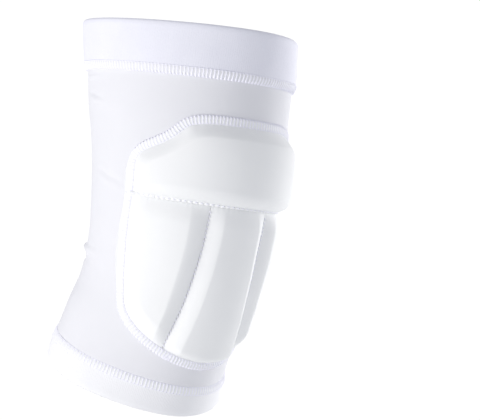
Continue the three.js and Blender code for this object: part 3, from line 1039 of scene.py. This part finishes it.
def build_floor():
    """A plain pale floor that stays evenly light from where the camera is."""
    finish = Finish("pale_floor", 0.9)
    seen = finish.node("ShaderNodeLightPath", None, None, "Is Camera Ray")
    level = seen * (SEEN_WHITE - FLOOR_LIGHT) + FLOOR_LIGHT
    colour = finish.tint(seen, FLOOR_COLOUR, (1, 1, 1))
    glow = finish.node("ShaderNodeEmission", None, {"Color": colour, "Strength": level})
    finish.feed(finish.tree.nodes["Material Output"].inputs["Surface"], glow)
    corners = [(x * FLOOR_HALF, y * FLOOR_HALF, FLOOR_LEVEL)
               for x, y in ((-1, -1), (1, -1), (1, 1), (-1, 1))]
    mesh = bpy.data.meshes.new("floor")
    mesh.from_pydata(corners, [], [(0, 1, 2, 3)])
    mesh.materials.append(finish.material)
    floor = bpy.data.objects.new("floor", mesh)
    bpy.context.scene.collection.objects.link(floor)


def build_surroundings():
    """Slightly cool light from all sides, weaker from above, and plain white behind the part."""
    world = bpy.data.worlds.new("studio")
    bpy.context.scene.world = world
    world.use_nodes = True
    tree = world.node_tree
    tree.nodes.clear()

    def node(kind, inputs=None):
        made = tree.nodes.new(kind)
        for key, value in (inputs or {}).items():
            if isinstance(value, bpy.types.NodeSocket):
                tree.links.new(value, made.inputs[key])
            else:
                made.inputs[key].default_value = value
        return made

    place = node("ShaderNodeTexCoord")
    direction = node("ShaderNodeSeparateXYZ", {0: place.outputs["Generated"]})
    strength = node("ShaderNodeMapRange", {
        "Value": direction.outputs["Z"], "From Min": -0.2, "From Max": 1.0,
        "To Min": SIDE_LIGHT, "To Max": TOP_LIGHT})
    around = node("ShaderNodeBackground", {"Color": SKY_COLOUR, "Strength": strength.outputs[0]})
    behind = node("ShaderNodeBackground", {"Color": (1, 1, 1, 1), "Strength": SEEN_WHITE})
    seen = node("ShaderNodeLightPath").outputs["Is Camera Ray"]
    blend = node("ShaderNodeMixShader", {0: seen, 1: around.outputs[0], 2: behind.outputs[0]})
    node("ShaderNodeOutputWorld", {"Surface": blend.outputs[0]})


def build_softbox(name, place, power, colour):
    """A tall softbox at a place, turned to face the origin."""
    light = bpy.data.lights.new(name, "AREA")
    light.shape, light.size, light.size_y = "RECTANGLE", SOFTBOX_WIDTH, SOFTBOX_HEIGHT
    light.energy, light.color = power, colour
    place = np.array(place, float)
    back = unit(place)
    side = unit(np.cross((0, 0, 1), back))
    box = bpy.data.objects.new(name, light)
    box.matrix_world = placed(side, np.cross(back, side), back, place)
    bpy.context.scene.collection.objects.link(box)


def placed(side, up, back, place):
    """A 4 by 4 matrix from three directions and a place."""
    matrix = np.eye(4)
    matrix[:3, :4] = np.stack([side, up, back, place], axis=-1)
    return Matrix(matrix.tolist())


def build_camera():
    """A long lens, aimed at the point and rolled about its own axis."""
    azimuth, elevation, roll = np.radians([CAMERA_AZIMUTH, CAMERA_ELEVATION, CAMERA_ROLL])
    back = np.array([np.sin(azimuth) * np.cos(elevation),
                     -np.cos(azimuth) * np.cos(elevation), np.sin(elevation)])
    level = np.array([np.cos(azimuth), np.sin(azimuth), 0.0])
    upright = np.cross(back, level)
    side = np.cos(roll) * level + np.sin(roll) * upright
    up = np.cos(roll) * upright - np.sin(roll) * level
    lens = bpy.data.cameras.new("camera")
    lens.lens, lens.sensor_width, lens.sensor_fit = CAMERA_LENS, CAMERA_SENSOR, "HORIZONTAL"
    lens.clip_start, lens.clip_end = 0.05, 50
    camera = bpy.data.objects.new("camera", lens)
    camera.matrix_world = placed(side, up, back, CAMERA_AIM + CAMERA_DISTANCE * back)
    bpy.context.scene.collection.objects.link(camera)
    bpy.context.scene.camera = camera


def build_pad():
    """The sleeve, the bands, the cushions and the stitching, in their finishes."""
    knit, cover, thread = knit_finish(), cover_finish(), thread_finish()
    top_elastic = elastic_finish("white_top_elastic", TOP_ELASTIC_COLOURS)
    bottom_elastic = elastic_finish("white_bottom_elastic", BOTTOM_ELASTIC_COLOURS)
    build_sleeve(knit)
    build_band("top_elastic_band", "top_band", start=TOP_BAND_EDGE + HALF_GAP, end=1.0,
               opening=1.0, rows=48, material=top_elastic)
    build_band("bottom_elastic_band", "bottom_band", start=0.0, end=BOTTOM_BAND_EDGE - HALF_GAP,
               opening=0.0, rows=32, material=bottom_elastic)
    build_upper_cushion(cover)
    build_centre_cushion(cover)
    build_side_cushion("left_cushion_cover", "left_cushion", -1, cover)
    build_side_cushion("right_cushion_cover", "right_cushion", 1, cover)
    build_pad_seam(cover, thread)
    build_band_seam("top_band_seam", TOP_BAND_EDGE, TOP_BAND_PROFILE, 1,
                    TOP_BAND_PITCH, RUNG_RADIUS, TOP_BAND_SLANT, knit, thread)
    build_band_seam("bottom_band_seam", BOTTOM_BAND_EDGE, BOTTOM_BAND_PROFILE, -1,
                    BOTTOM_BAND_PITCH, BOTTOM_RUNG_RADIUS, BOTTOM_BAND_SLANT, cover, thread)
    build_stitch_lines(cover, thread)


build_pad()
build_floor()
build_surroundings()
build_softbox("key_softbox", KEY_PLACE, KEY_POWER, KEY_COLOUR)
build_softbox("rim_softbox", RIM_PLACE, RIM_POWER, RIM_COLOUR)
build_camera()
bpy.context.scene.view_settings.view_transform = "Standard"
